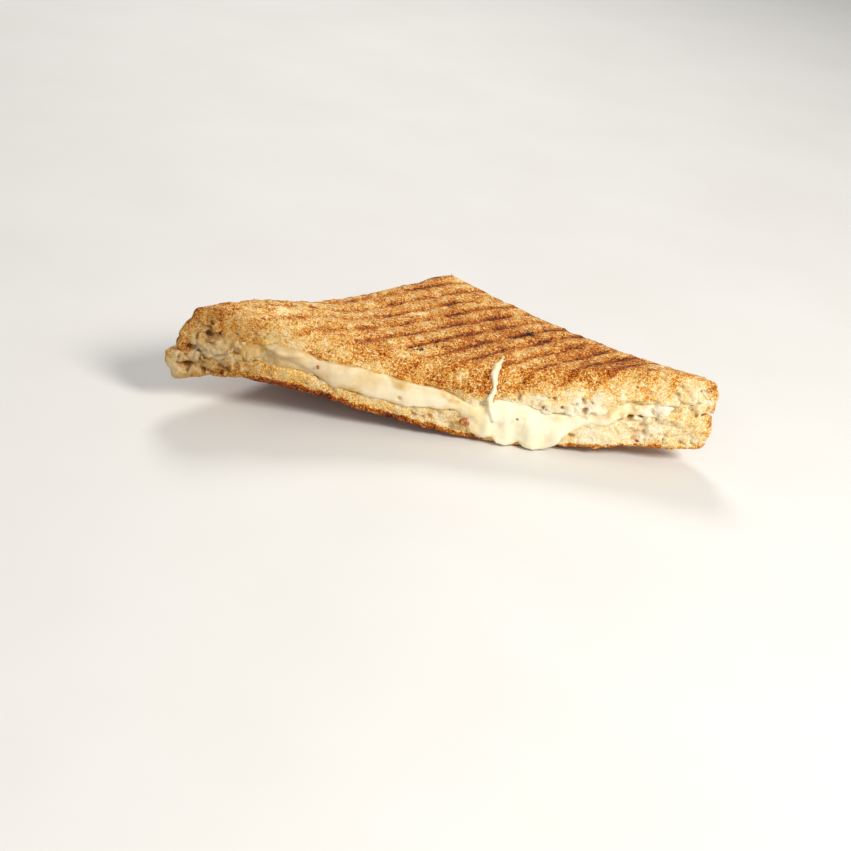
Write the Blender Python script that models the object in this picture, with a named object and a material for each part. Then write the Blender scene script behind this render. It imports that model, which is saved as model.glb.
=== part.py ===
"""Half of a toasted cheese sandwich, pressed in a ribbed grill and cut from corner to corner.

Two square slices of bread with melted cheese between them, of which one diagonal half is kept.
+X runs along the cut, -Y is the side that the cut faces, +Z is up, and the table is at Z = 0.
Each slice is made as the baker makes it: a whole rounded square with grill marks, then cut.
"""

import math

import bmesh
import bpy
from mathutils import Vector

MM = 0.001

# Bread: the square slices before the cut
SLICE_SIDE = 120 * MM
SLICE_CORNER = 13 * MM
BOTTOM_THICKNESS = 8.0 * MM
TOP_THICKNESS = 9.0 * MM
TOP_SIDE = 116.0 * MM  # the top slice shrank a little more on the grill
TOP_SHIFT = 2.6 * MM  # and lies a little to the right of the bottom one
WALL_BULGE = 0.5 * MM  # how far the crust swells past the edges of a slice's two faces
WALL_ROWS = 4
OUTER_RIM = 3.4 * MM  # radius of the crust's rounded edge on the toasted side
INNER_RIM = 1.6 * MM  # and on the side towards the cheese
RIM_STEPS = 3

TIP_FROM = -58 * MM  # from here to the left, the two slices' facing sides reach out further
TIP_SPREAD_LENGTH = 20 * MM
TOP_SPREAD = 3.6 * MM  # the top slice's underside, at its left point
BOTTOM_SPREAD = 2.0 * MM  # and the bottom slice's upper side

# The knife and the press squeeze the layers along the cut: (x, thickness) in mm, from left to right
BOTTOM_AT_CUT = ((-78, 8.6), (-62, 6.0), (-42, 4.8), (-18, 4.8), (4, 5.8), (26, 5.2), (48, 7.4), (78, 8.8))
CHEESE_AT_CUT = ((-78, 3.4), (-62, 5.0), (-42, 6.2), (-18, 7.4), (4, 7.0), (26, 8.8), (48, 6.6), (78, 4.6))
TOP_AT_CUT = (
    (-78, 10.4), (-62, 7.6), (-42, 4.8), (-18, 4.6), (4, 5.4), (26, 5.0), (48, 6.4), (64, 7.4), (79, 6.2),
)
CUT_REACH = 20 * MM  # how far the squeeze is felt behind the cut
CUT_SLANT = 5.5 * MM  # how far the top slice's upper edge lies back from its lower one
TIP_SLANT = 1.2 * MM
SLANT_REACH = 16 * MM
TIP_START = 45 * MM  # the slant grows steeper from here towards the two points
TIP_LENGTH = 30 * MM
APEX_PUFF = 1.8 * MM  # the corner opposite the cut stands up, as the press misses it
APEX_REACH = 30 * MM

# The underside of the bottom slice along the cut: (x, height over the table) in mm, from left to right
UNDER_AT_CUT = (
    (-79, 8.4), (-70, 10.4), (-58, 11.9), (-42, 10.1), (-26, 6.8), (-11, 4.0), (4, 1.6),
    (17, 0), (26, 0), (34, 1.2), (49, 3.4), (62, 4.6), (80, 6.2),
)
UNDER_REACH = 20 * MM  # and how far behind the cut it takes to reach the curl of the whole half
WEDGE = 4.0 * MM  # the layers above the bottom slice rise this much from the far corner to the cut
WEDGE_SHARE_START = 22 * MM  # the underside rises with them this far from the middle of the cut
WEDGE_SHARE_LENGTH = 30 * MM

# The curl of the whole half, which rests on its middle
LEFT_CURL = 8.4 * MM
LEFT_START = 2 * MM
LEFT_LENGTH = 52 * MM
LEFT_SKEW = 0.5  # the left curl starts later towards the corner opposite the cut
LEFT_EASE = 0.4  # and is that much less at the crust
LEFT_EASE_REACH = 50 * MM
LEFT_DROOP = 3.0 * MM  # the left point bends down again
LEFT_DROOP_LENGTH = 31 * MM
RIGHT_CURL = 5.0 * MM
RIGHT_START = 22 * MM
RIGHT_LENGTH = 60 * MM

# Grill marks
MARK_PITCH = 7.1 * MM
MARK_WIDTH = 3.4 * MM
MARK_DEPTH = 0.8 * MM
MARK_ANGLE = math.radians(39)  # from the cut to the ribs
MARK_PHASE = 1.4 * MM  # how far the nearest rib lies from the middle of the cut
MARK_START = 4 * MM  # the marks fade in from here, measured from the cut
MARK_FADE = 9 * MM
MARK_CRUST_FADE = 9 * MM  # and fade out over this distance from the crust

# Cheese
CHEESE_THICKNESS = 2.6 * MM
CHEESE_AT_CRUST = 0.6 * MM
CRUST_FADE = 13 * MM  # the layer thins out over this distance from the crust
OPEN_AT_CUT = 0.7  # how much of its full height the layer keeps where the crust meets the cut
CHEESE_END = 76.5 * MM  # half the length of the layer along the cut
CHEESE_TAPER = 12 * MM
CHEESE_INSET = 5.0 * MM  # how far the melted edge stays inside the crust
CHEESE_LEAST = 1.2 * MM  # the layer's depth behind the cut at its two ends
CHEESE_WAVE = 1.6 * MM  # how far the melted edge wanders in and out
CHEESE_WAVE_LENGTHS = (6 * MM, 13.5 * MM)
LIP_BULGE = 1.6 * MM  # how far the melted edge swells out of the cut
LIP_THIN = 0.6 * MM  # and near the two points, where it is soaked into the crumb
LIP_FROM = -62 * MM
LIP_TO = 72 * MM
LIP_FADE = 14 * MM
LIP_HANG = 0.8 * MM  # how far it hangs over the bottom slice
LIP_RISE = 0.6 * MM  # and how far it stands up in front of the top slice
LIP_ROUNDNESS = 0.6  # below 1, the lip's front is flatter
DRIP_BULGE = 1.5 * MM
DRIP_LOW = 0.5 * MM  # height of the drips' lowest point over the table
# Where each drip is, half its width, and how much of the way down it has run
DRIPS = ((16.0 * MM, 5.5 * MM, 0.72), (23.0 * MM, 6.5 * MM, 1.0), (32.0 * MM, 9.0 * MM, 0.97))
SECTION_COUNT = 60
DEPTH_STEPS = 7
DEPTH_BIAS = 1.4  # above 1, the steps in depth lie closer together near the cut
LIP_STEPS = 6

TOUCH_GAP = 0.3 * MM  # clearance that touching pieces keep


def smooth(t):
    t = min(max(t, 0.0), 1.0)
    return t * t * (3 - 2 * t)


def lerp(a, b, t):
    return a + (b - a) * t


def tip_share(x):
    """0 in the middle of the cut and 1 at its two points."""
    return smooth((abs(x) - TIP_START) / TIP_LENGTH)


def cut_share(y):
    """1 at the cut and 0 in the depth of the sandwich."""
    return 1 - smooth(y / CUT_REACH)


def profile(stations, x):
    """A smooth curve along the cut through (x, thickness) stations in mm."""
    place = min(max(x / MM, stations[0][0]), stations[-1][0])
    k = max(i for i in range(len(stations) - 1) if stations[i][0] <= place)
    slopes = []
    for i in (k, k + 1):
        before = stations[max(i - 1, 0)]
        after = stations[min(i + 1, len(stations) - 1)]
        slopes.append((after[1] - before[1]) / (after[0] - before[0]))
    (x0, z0), (x1, z1) = stations[k], stations[k + 1]
    t = (place - x0) / (x1 - x0)
    rise = (slopes[0] * (1 - t) - slopes[1] * t) * t * (1 - t) * (x1 - x0)
    return (lerp(z0, z1, smooth(t)) + rise) * MM


def squeezed(deep, at_cut, x, y):
    """A thickness that is `deep` inside and follows the `at_cut` stations along the cut."""
    return lerp(deep, profile(at_cut, x), cut_share(y))


def crust_distance(x, y):
    """How far a point lies inside the two crusts that meet opposite the cut."""
    return (SLICE_SIDE / math.sqrt(2) - abs(x) - y) / math.sqrt(2)


def curl(x, y):
    """The lift of the sandwich's underside off the table."""
    left = smooth((-x - LEFT_START - LEFT_SKEW * y) / LEFT_LENGTH)
    droop = smooth((-x - LEFT_START - LEFT_LENGTH) / LEFT_DROOP_LENGTH)
    ease = 1 - LEFT_EASE * smooth(y / LEFT_EASE_REACH)
    right = min(max((x - RIGHT_START) / RIGHT_LENGTH, 0.0), 1.0) ** 2
    return LEFT_CURL * left * ease - LEFT_DROOP * droop + RIGHT_CURL * right


def wedge(y):
    """The rise of the layers above the bottom slice towards the cut."""
    return WEDGE * (1 - y / (SLICE_SIDE / math.sqrt(2)))


def grill_mark(x, y):
    """Depth that one rib of the grill pressed into the bread here."""
    across = y * math.cos(MARK_ANGLE) - x * math.sin(MARK_ANGLE) - MARK_PHASE
    off = abs((across / MARK_PITCH + 0.5) % 1.0 - 0.5) * MARK_PITCH
    if off >= MARK_WIDTH / 2:
        return 0.0
    shown = smooth((y - MARK_START) / MARK_FADE) * smooth(crust_distance(x, y) / MARK_CRUST_FADE)
    return MARK_DEPTH * shown * 0.5 * (1 + math.cos(math.pi * off / (MARK_WIDTH / 2)))


def cheese_depth(x, y):
    """Height of the space between the slices."""
    inside = squeezed(CHEESE_THICKNESS, CHEESE_AT_CUT, x, y)
    at_crust = lerp(CHEESE_AT_CRUST, inside, OPEN_AT_CUT * cut_share(y))
    return lerp(at_crust, inside, smooth(crust_distance(x, y) / CRUST_FADE))


def bottom_low(x, y):
    """Underside of the bottom slice."""
    share = smooth((abs(x) - WEDGE_SHARE_START) / WEDGE_SHARE_LENGTH)
    deep = curl(x, y) + wedge(y) * share
    return lerp(profile(UNDER_AT_CUT, x), deep, smooth(y / UNDER_REACH))


def bottom_high(x, y):
    """Upper side of the bottom slice."""
    return curl(x, y) + wedge(y) + squeezed(BOTTOM_THICKNESS, BOTTOM_AT_CUT, x, y)


def top_low(x, y):
    """Underside of the top slice."""
    return bottom_high(x, y) + cheese_depth(x, y) + 2 * TOUCH_GAP


def top_high(x, y):
    """Upper side of the top slice, without its grill marks."""
    puff = APEX_PUFF * (1 - smooth(math.hypot(x, SLICE_SIDE / math.sqrt(2) - y) / APEX_REACH))
    return top_low(x, y) + squeezed(TOP_THICKNESS, TOP_AT_CUT, x, y) + puff


def face_slant(x, y):
    """How far the top slice's upper edge is pushed back here."""
    return lerp(CUT_SLANT, TIP_SLANT, tip_share(x)) * (1 - smooth(y / SLANT_REACH))


def crust_lines(side, count):
    """Grid lines across a slice from crust to crust: close together in the rims, even between them."""
    rim = [OUTER_RIM * (1 - math.cos(math.pi / 2 * k / RIM_STEPS)) for k in range(RIM_STEPS)]
    inner = [OUTER_RIM + (side - 2 * OUTER_RIM) * k / count for k in range(count + 1)]
    lines = rim + inner + [side - line for line in reversed(rim)]
    return [line - side / 2 for line in lines]


def round_corner(u, v, side):
    """Maps a point of the square slice onto the slice with rounded corners."""
    straight = side / 2 - SLICE_CORNER
    a = max(abs(u) - straight, 0.0) / SLICE_CORNER
    b = max(abs(v) - straight, 0.0) / SLICE_CORNER
    if a == 0 or b == 0:
        return u, v
    u_round = straight + SLICE_CORNER * a * math.sqrt(1 - b * b / 2)
    v_round = straight + SLICE_CORNER * b * math.sqrt(1 - a * a / 2)
    return math.copysign(u_round, u), math.copysign(v_round, v)


def rim_drop(distance, radius):
    """How far a rounded edge falls away at this distance from the crust."""
    inside = max(radius - distance, 0.0)
    return radius - math.sqrt(radius * radius - inside * inside)


def slice_box(u_count, v_count):
    """A closed box of one slice's grid, from -1 to 1 in X and Y and from 0 to 1 in Z."""
    mesh = bmesh.new()
    bmesh.ops.create_grid(mesh, x_segments=u_count, y_segments=v_count, size=1)
    made = bmesh.ops.extrude_face_region(mesh, geom=mesh.faces[:])
    raised = [item for item in made["geom"] if isinstance(item, bmesh.types.BMVert)]
    bmesh.ops.translate(mesh, verts=raised, vec=(0, 0, 1))
    walls = [edge for edge in mesh.edges if abs(edge.verts[0].co.z - edge.verts[1].co.z) > 0.5]
    bmesh.ops.subdivide_edges(mesh, edges=walls, cuts=WALL_ROWS - 1, use_grid_fill=True)
    bmesh.ops.recalc_face_normals(mesh, faces=mesh.faces[:])
    return mesh


def shape_slice(mesh, u_lines, v_lines, side, shift, low, high, rims, spreads):
    """Moves each vertex of a slice's box to its place in the whole, uncut slice."""
    for vert in mesh.verts:
        u = u_lines[round((vert.co.x + 1) / 2 * (len(u_lines) - 1))]
        v = v_lines[round((vert.co.y + 1) / 2 * (len(v_lines) - 1))]
        level = vert.co.z
        rim = side / 2 - max(abs(u), abs(v))
        u, v = round_corner(u, v, side)
        swell = 1 + 4 * level * (1 - level) * WALL_BULGE / (side / 2)
        x = (u - v) / math.sqrt(2) * swell + shift
        x -= lerp(*spreads, level) * smooth((TIP_FROM - x) / TIP_SPREAD_LENGTH)
        y = -(u + v) / math.sqrt(2) * swell
        floor = low(x, y) + rim_drop(rim, rims[0])
        ceiling = high(x, y) - rim_drop(rim, rims[1])
        vert.co = (x, y, lerp(floor, ceiling, level))


def cut_corner_to_corner(mesh):
    """Keeps the half behind the cut, and closes the cut face."""
    whole = mesh.verts[:] + mesh.edges[:] + mesh.faces[:]
    cut = bmesh.ops.bisect_plane(
        mesh, geom=whole, dist=MM / 100, plane_co=(0, 0, 0), plane_no=(0, 1, 0), clear_inner=True
    )
    rim = [item for item in cut["geom_cut"] if isinstance(item, bmesh.types.BMEdge)]
    bmesh.ops.edgeloop_fill(mesh, edges=rim)
    bmesh.ops.triangulate(mesh, faces=mesh.faces[:])
    bmesh.ops.recalc_face_normals(mesh, faces=mesh.faces[:])


def finish_object(name, mesh, material, collection):
    """Turns a bmesh into a named object with one material."""
    data = bpy.data.meshes.new(name)
    mesh.to_mesh(data)
    mesh.free()
    data.materials.append(material)
    data.shade_smooth()
    data.set_sharp_from_angle(angle=math.radians(40))
    piece = bpy.data.objects.new(name, data)
    collection.objects.link(piece)
    return piece


def make_bottom_slice(material, collection):
    lines = crust_lines(SLICE_SIDE, 22)
    mesh = slice_box(len(lines) - 1, len(lines) - 1)
    rims = (OUTER_RIM, INNER_RIM)
    spreads = (0, BOTTOM_SPREAD)
    shape_slice(mesh, lines, lines, SLICE_SIDE, 0, bottom_low, bottom_high, rims, spreads)
    cut_corner_to_corner(mesh)
    return finish_object("bread_bottom", mesh, material, collection)


def make_top_slice(material, collection):
    u_lines = crust_lines(TOP_SIDE, 72)
    v_lines = crust_lines(TOP_SIDE, 16)
    mesh = slice_box(len(u_lines) - 1, len(v_lines) - 1)

    def marked_high(x, y):
        return top_high(x, y) - grill_mark(x, y)

    rims = (INNER_RIM, OUTER_RIM)
    spreads = (TOP_SPREAD, 0)
    shape_slice(
        mesh, u_lines, v_lines, TOP_SIDE, TOP_SHIFT, top_low, marked_high, rims, spreads
    )
    cut_corner_to_corner(mesh)
    for vert in mesh.verts:
        x, y, z = vert.co
        height = (z - top_low(x, y)) / (top_high(x, y) - top_low(x, y))
        vert.co.y = y + face_slant(x, y) * height
    return finish_object("bread_top", mesh, material, collection)


def drip_share(x):
    """How far down the bottom slice the melted edge has run here, from 0 to 1."""
    return max(deep * (1 - smooth(abs(x - middle) / half)) ** 0.5 for middle, half, deep in DRIPS)


def cheese_section(x):
    """The closed outline of the cheese in the plane at x, as (y, z) points from its back edge round."""
    share = drip_share(x)
    taper = 1 - smooth((abs(x) - CHEESE_END + CHEESE_TAPER) / CHEESE_TAPER)
    short, long = CHEESE_WAVE_LENGTHS
    wave = CHEESE_WAVE * math.sin(x / short) * math.cos(x / long)
    back = SLICE_SIDE / math.sqrt(2) - abs(x) - CHEESE_INSET * math.sqrt(2) + wave * taper
    back = max(back, CHEESE_LEAST)
    hang = LIP_HANG + (bottom_high(x, 0) - DRIP_LOW - LIP_HANG) * share
    full = smooth((x - LIP_FROM) / LIP_FADE) * smooth((LIP_TO - x) / LIP_FADE)
    bulge = lerp(LIP_THIN, LIP_BULGE, full) + DRIP_BULGE * share
    depths = [back * (1 - k / DEPTH_STEPS) ** DEPTH_BIAS for k in range(DEPTH_STEPS)]
    over = [(y, top_low(x, y) - TOUCH_GAP) for y in depths]
    under = [(y, bottom_high(x, y) + TOUCH_GAP) for y in reversed(depths)]
    face_top = top_low(x, 0) + LIP_RISE
    face_y = face_slant(x, 0) * LIP_RISE / (top_high(x, 0) - top_low(x, 0))
    lip_high = top_low(x, 0) - TOUCH_GAP
    lip_low = bottom_high(x, 0) - hang
    lip = [(-TOUCH_GAP, lip_high), (face_y - 2 * TOUCH_GAP, face_top)]
    for k in range(1, LIP_STEPS):
        turn = math.pi * k / LIP_STEPS
        z = lerp(face_top, lip_low, (1 - math.cos(turn)) / 2)
        lip.append((-TOUCH_GAP - bulge * math.sin(turn) ** LIP_ROUNDNESS, z))
    lip += [(-2 * TOUCH_GAP, lip_low), (-TOUCH_GAP, bottom_high(x, 0) + TOUCH_GAP)]
    return over + lip + under


def make_cheese(material, collection):
    """The melted layer, lofted from sections along the cut."""
    mesh = bmesh.new()
    rings = []
    for k in range(SECTION_COUNT + 1):
        x = CHEESE_END * (2 * k / SECTION_COUNT - 1)
        rings.append([mesh.verts.new((x, y, z)) for y, z in cheese_section(x)])
    count = len(rings[0])
    for near, far in zip(rings, rings[1:]):
        for i in range(count):
            j = (i + 1) % count
            mesh.faces.new((near[i], near[j], far[j], far[i]))
    mesh.faces.new(rings[0])
    mesh.faces.new(rings[-1])
    bmesh.ops.triangulate(mesh, faces=mesh.faces[:])
    bmesh.ops.recalc_face_normals(mesh, faces=mesh.faces[:])
    return finish_object("cheese", mesh, material, collection)


def make_material(name, color, roughness):
    material = bpy.data.materials.new(name)
    material.use_nodes = True
    shader = material.node_tree.nodes["Principled BSDF"]
    shader.inputs["Base Color"].default_value = (*color, 1)
    shader.inputs["Roughness"].default_value = roughness
    shader.inputs["Metallic"].default_value = 0
    return material


def stand_on_origin(pieces):
    """Moves all the pieces so that the middle of their common base is the origin."""
    corners = [vert.co for piece in pieces for vert in piece.data.vertices]
    low = Vector(min(c[axis] for c in corners) for axis in range(3))
    high = Vector(max(c[axis] for c in corners) for axis in range(3))
    base = Vector(((low.x + high.x) / 2, (low.y + high.y) / 2, low.z))
    for piece in pieces:
        for vert in piece.data.vertices:
            vert.co -= base


def main():
    for old in list(bpy.data.objects):
        bpy.data.objects.remove(old)
    collection = bpy.data.collections.new("cheese_sandwich")
    bpy.context.scene.collection.children.link(collection)
    bread = make_material("toasted_bread", (0.60, 0.36, 0.15), 0.85)
    cheese = make_material("melted_cheese", (0.87, 0.78, 0.48), 0.35)
    pieces = [
        make_bottom_slice(bread, collection),
        make_cheese(cheese, collection),
        make_top_slice(bread, collection),
    ]
    stand_on_origin(pieces)


main()
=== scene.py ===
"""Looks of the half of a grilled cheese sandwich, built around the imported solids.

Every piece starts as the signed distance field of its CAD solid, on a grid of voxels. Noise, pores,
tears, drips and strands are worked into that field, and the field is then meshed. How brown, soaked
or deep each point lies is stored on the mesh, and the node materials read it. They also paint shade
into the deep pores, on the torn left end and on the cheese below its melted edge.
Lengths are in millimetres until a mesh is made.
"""

import math

import bmesh
import bpy
import numpy as np
import openvdb
from mathutils import Matrix, Vector


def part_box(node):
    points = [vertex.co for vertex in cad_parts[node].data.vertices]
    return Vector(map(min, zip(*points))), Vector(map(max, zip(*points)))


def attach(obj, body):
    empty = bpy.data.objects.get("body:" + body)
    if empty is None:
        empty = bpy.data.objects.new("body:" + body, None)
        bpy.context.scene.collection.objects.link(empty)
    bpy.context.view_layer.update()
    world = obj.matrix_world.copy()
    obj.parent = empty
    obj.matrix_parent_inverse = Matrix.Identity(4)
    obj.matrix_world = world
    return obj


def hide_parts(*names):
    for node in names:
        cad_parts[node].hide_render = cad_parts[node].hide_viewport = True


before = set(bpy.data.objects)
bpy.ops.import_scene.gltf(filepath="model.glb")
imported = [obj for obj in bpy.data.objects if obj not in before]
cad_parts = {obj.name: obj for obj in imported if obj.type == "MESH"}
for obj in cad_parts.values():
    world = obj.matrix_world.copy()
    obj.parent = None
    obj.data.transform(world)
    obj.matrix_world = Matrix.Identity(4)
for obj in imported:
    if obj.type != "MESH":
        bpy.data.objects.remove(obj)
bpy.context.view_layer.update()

MM = 0.001

# The grid
VOXEL = 0.4
FAR = 99.0
FACE_MARGIN = 12  # voxels that the map of a slice's toasted face reaches past the slice
BAND = 10  # voxels on either side of the surface
SEED = 11

# The frame's own places: the cut's plane and the middle of the cut
BOTTOM_LOW, BOTTOM_HIGH = (np.array(corner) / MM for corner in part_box("bread_bottom"))
TOP_LOW, TOP_HIGH = (np.array(corner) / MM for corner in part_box("bread_top"))
CUT_Y = BOTTOM_LOW[1]
MID_X = BOTTOM_HIGH[0] - (BOTTOM_HIGH[1] - CUT_Y)
SLICE_CORNER = 13.0

# Grill marks, where the solid has its grooves
MARK_PITCH = 7.1
MARK_ANGLE = math.radians(39)
MARK_PHASE = 1.4
MARK_WIDTH = 1.15
MARK_REACH = ((-60, 2), (-20, 4), (0, 5), (18, 5), (28, 2), (80, 1))  # how far they run on in front of the toast

MOST_TRIANGLES = 190000  # of a piece
HIDDEN_WEIGHT = 10  # how much sooner hidden faces are merged
SEEN_WEIGHT = 0.1  # lets the faces that are seen be merged at all

# Relief: (size of the features, height)
TOAST_NOISE = ((9.0, 0.18), (3.2, 0.09), (1.3, 0.11))
CRUMB_NOISE = ((2.6, 0.16), (1.0, 0.14))
CRUMB_CELLS = ((2.0, 0.4), (1.1, 0.4))  # thin walls between hollows
CRUMB_ALONG = ((-80, 1.2), (-62, 1.1), (-50, 0.5), (10, 0.45), (40, 0.6), (80, 0.7))  # share of the crumb's relief
PORES_ALONG = ((-80, 1), (-62, 0.8), (-50, 0.25), (10, 0.25), (30, 0.6), (80, 0.6))  # share of the pores
CALM_DEPTH = 2.4  # the crumb's relief fades in over this distance from the toast and the crusts
TORN_END = -56.0
SWELL = 0.12  # makes up for what smoothing takes off the edges
SKIN = 1.0  # thickness under the toasted face that no pore breaks
PORE_LOW = (0.8, 0.8, 0.5)
PORE_HIGH = (1.7, 1.1, 1.0)
PORE_RIM = 0.3
PORES = ((7.0, (0.7, 1.2)), (2.2, (0.45, 0.75)), (1.05, (0.3, 0.5)))  # distance between them, radii
PORE_DARK = 1.3  # depth at which the shade painted into a pore is darkest
PIT_DEPTH = 0.6

# How brown each place is, from 0, white crumb, to 1, burnt: (x, value)
TOP_TONE = ((-75, 0.38), (-55, 0.36), (-30, 0.35), (-10, 0.37), (40, 0.42), (60, 0.39), (78, 0.34))
MARK_TONE = ((-68, 0.03), (-50, 0.18), (-30, 0.28), (0, 0.35), (30, 0.37), (60, 0.4), (76, 0.16))
CRUST_TONE = ((-80, 0.32), (-66, 0.42), (-44, 0.64), (0, 0.62), (50, 0.6), (72, 0.42), (80, 0.36))
CRUST_DEPTH = ((-80, 0.1), (-60, 0.3), (-20, 0.8), (80, 0.8))
RIM_TONE = ((-78, 0.15), (-60, 0.3), (-12, 0.42), (2, 0.04), (12, 0.04), (24, 0.24), (60, 0.24), (76, 0.08))
FRONT_TONE = (
    (-80, 0.14), (-66, 0.18), (-58, 0.25), (-42, 0.26), (-27, 0.28), (-11, 0.4), (-5, 0.46), (5, 0.44),
    (11, 0.46), (19, 0.34), (26, 0.28), (34, 0.16), (48, 0.12), (57, 0.16), (70, 0.08), (80, 0.05),
)  # the slanted front of the top slice
EDGE_TONE = ((-80, 0.2), (-62, 0.35), (-54, 0.7), (4, 0.72), (13, 0.5), (40, 0.42), (80, 0.42))
LOWER_TONE = ((-80, 0.1), (-60, 0.2), (-40, 0.18), (0, 0.12), (30, 0.07), (62, 0.07), (74, 0.18))
LOWER_GLOW = ((-80, 0.1), (-60, 0.26), (-20, 0.24), (4, 0.16), (14, 0.05), (80, 0.02))
GLOW_DEPTH = 2.2  # how far from the toasted underside the crumb is browner
PALE_ZONE = (
    (-72, 1.5), (-63, 2.0), (-54, 3.6), (-43, 5.8), (-28, 6.4), (-13, 4.4), (-1, 3.6),
    (11, 3.0), (23, 2.0), (34, 2.4), (46, 3.6), (58, 2.6), (69, 1.8), (80, 1.4),
)  # how far behind the cut the toast starts
EDGE_DEPTH = ((-80, 0.1), (-54, 1.0), (4, 1.1), (14, 0.3), (80, 0.3))
PALE_SPOTS = ((6.1, 33.0, 5.0, 0.16), (-33.0, -24.0, 4.0, 0.08), (40.0, -24.0, 3.0, 0.12))  # x, y, reach, how much
STAIN_REACH = 1.6
STAIN_ALONG = ((-80, 0.1), (-70, 0.4), (-62, 1), (-46, 1), (-30, 0.7), (10, 0.6), (45, 0.6), (58, 0.3), (76, 0.05))
# Painted shade on the front faces of the torn left end, darkest towards the left: how much along x, on the cheese
# and on the bread
CHEESE_SHADE_ALONG = ((-60, 1), (-40, 0.8), (-20, 0.4), (0, 0.15), (14, 0))
BREAD_SHADE_ALONG = ((-80, 0.75), (-68, 1), (-56, 0.75), (-44, 0.3), (-20, 0.12), (0, 0.2), (12, 0.1), (20, 0))

# Torn crumb that hangs over the cheese at the two points: centre and radii
LEFT_TUFTS = (
    ((-71.5, -38.0, 22.6), (2.6, 1.6, 1.5)), ((-74.2, -37.0, 18.6), (1.8, 1.4, 2.4)),
    ((-64.5, -37.8, 20.6), (2.4, 1.5, 1.4)), ((-67.8, -37.6, 18.4), (2.6, 1.5, 2.2)),
    ((-75.6, -37.4, 21.4), (1.8, 1.3, 1.4)),
)
RIGHT_TUFTS = (
    ((63.5, -37.9, 17.0), (2.4, 1.3, 1.5)), ((67.5, -38.0, 15.4), (2.6, 1.4, 1.4)),
    ((71.6, -37.6, 15.6), (2.4, 1.4, 1.5)), ((75.0, -37.0, 15.6), (1.8, 1.3, 1.3)),
    ((61.0, -38.2, 14.4), (2.0, 1.2, 1.2)), ((76.4, -37.2, 19.6), (2.2, 1.2, 1.7)),
    ((72.0, -37.4, 18.6), (2.4, 1.2, 1.4)), ((57.6, -37.3, 14.0), (2.6, 1.0, 1.4)),
)
# Soaked crumb of the top slice that hangs in front of the cheese: (x, lower edge)
FRINGE_LOW = (
    (2, 15.5), (6, 13.2), (9.5, 11.4), (12.4, 11.6), (15, 13.4), (17, 14.6), (20.5, 13), (23, 13.8), (26.5, 13.8),
    (29.8, 11.8), (36.7, 12.8), (44, 12.4), (47.5, 13.5), (50.6, 16.2), (54, 18.4),
)
FRINGE_LIFT = 1.2  # how far up the slice's front it starts
FRINGE_OUT = ((2, -0.6), (9, 0.1), (15, -0.2), (24, 0.0), (30, 0.4), (46, 0.5), (54, -0.4))
FRINGE_BACK = 2.5
# Cavities in the torn left end: centre and radii
TOP_CAVITIES = (
    ((-66.6, -39.0, 24.6), (2.9, 3.0, 1.5)),
    ((-69.0, -38.6, 26.8), (1.9, 2.2, 1.0)),
    ((-72.8, -39.2, 20.3), (2.0, 3.0, 1.3)),
    ((-60.5, -39.0, 25.6), (1.4, 1.6, 0.8)),
    ((-64.8, -39.4, 22.9), (1.8, 2.2, 0.8)),
    ((-58.4, -39.2, 19.4), (1.2, 1.8, 0.7)),
)
BOTTOM_CAVITIES = (
    ((-65.5, -38.8, 12.6), (1.5, 1.8, 0.8)),
    ((-75.0, -38.8, 14.4), (1.5, 1.8, 0.8)),
    ((-57.0, -38.8, 14.2), (1.3, 1.6, 0.6)),
)

# Cheese: where it is soaked into torn crumb, and where it is white and dull
SOAKED_END = -53.0
WHITE_FROM = 56.0
TAN_SHADE_END = -14.0  # left of it the cheese below the melted edge is painted tan: soaked colour and painted shade under the crest
RECESS = ((-80, 1.2), (-66, 1.2), (-60, 0.5), (50, 0.4), (80, 0.3))  # how far the torn cheese lies back
# The melted edge on the cut: (x, height)
BAND_LOW = (
    (-50, 22.8), (-46, 20.8), (-42, 18.8), (-37, 16.4), (-32, 12.8), (-20, 9.8), (-8, 7.6), (4, 6.0), (26, 4.4), (48, 9.6),
    (60, 12.6), (78, 14),
)
BAND_HIGH = (
    (-56, 24.2), (-50, 24.2), (-42, 23.0), (-36, 21.8), (-24, 19.7), (-13, 18.0), (-3, 16.4), (6, 14.0), (10, 12.2),
    (13, 12.4), (16, 14.4), (26, 14.6), (30, 12.8), (44, 13.2), (48, 14.4), (51, 17), (58, 18.6), (78, 19.5),
)
BAND_BULGE = ((-60, 0.2), (-46, 1.1), (-20, 0.7), (4, 0.7), (50, 0.6), (62, 0.2))  # (x, how far it stands out)
FOLDS = (((16, 40, 2.6), 0.16), ((4, 40, 7), 0.16), ((1.8, 40, 3), 0.06))  # features along x, y and z, height
CURTAIN_FOLDS = (((2.2, 40, 14), 0.42), ((1.2, 40, 6), 0.13))
CREST = ((-45.5, CUT_Y - 0.5, 22.5), (4.5, 1.2, 0.8))
# The run in front of the cut: (x, lower end) and (x, how far it stands out)
CURTAIN_LOW = (
    (4, 10.5), (8, 6.4), (10.2, 3.2), (13, 2.4), (16.6, 3.2), (18.2, 1.2), (20.6, 0.4), (23.0, 0.7),
    (24.7, 2.3), (26.0, 0.9), (29.5, 0.3), (33.0, 1.2), (35.7, 3.2), (37.8, 6.6), (40.7, 9), (47.8, 10.9),
    (59, 15.5),
)
CURTAIN_OUT = ((4, 0.1), (10, 0.9), (15, 1.1), (20.5, 1.9), (24.7, 1.3), (29, 2.2), (35, 1.8), (42, 1.0), (59, 0.2))
CURTAIN_TOP = ((4, 9.5), (10, 11), (13, 11.6), (16, 13.6), (26, 13.6), (30, 11.6), (44, 11.8), (59, 15))
CURTAIN_BACK = 1.5  # how far it reaches back behind the cut
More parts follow.
